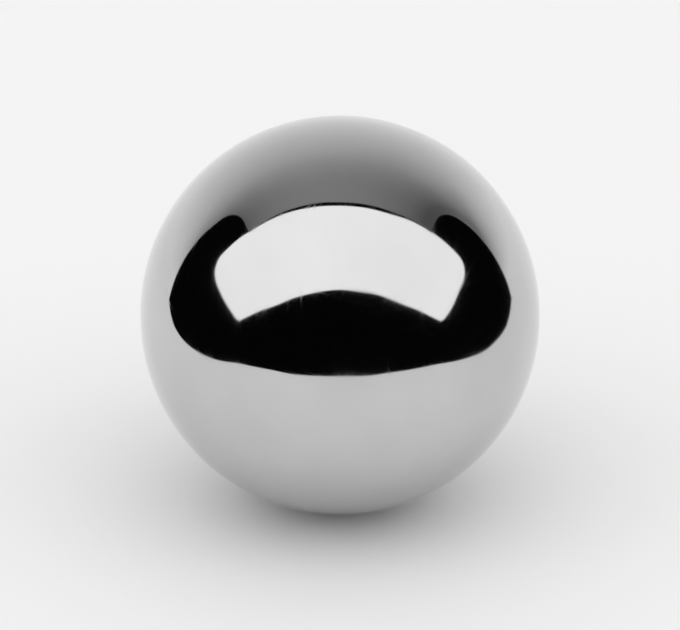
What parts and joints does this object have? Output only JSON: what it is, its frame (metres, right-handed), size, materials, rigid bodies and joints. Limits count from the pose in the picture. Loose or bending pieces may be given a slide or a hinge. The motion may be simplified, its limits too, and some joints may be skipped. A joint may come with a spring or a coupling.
{
  "type": "sphere magnet",
  "caption": "Small solid ball of sintered neodymium magnet with a mirror-bright nickel finish, magnetised through its centre.",
  "frame": {"origin": "centre of the ball", "axes": "+Z along the magnetic axis, towards the north pole"},
  "size_m": [0.005, 0.005, 0.005],
  "materials": {
    "nickel_plate": "polished"
  },
  "bodies": {
    "root": {"magnet_ball": "nickel_plate"}
  },
  "joints": []
}
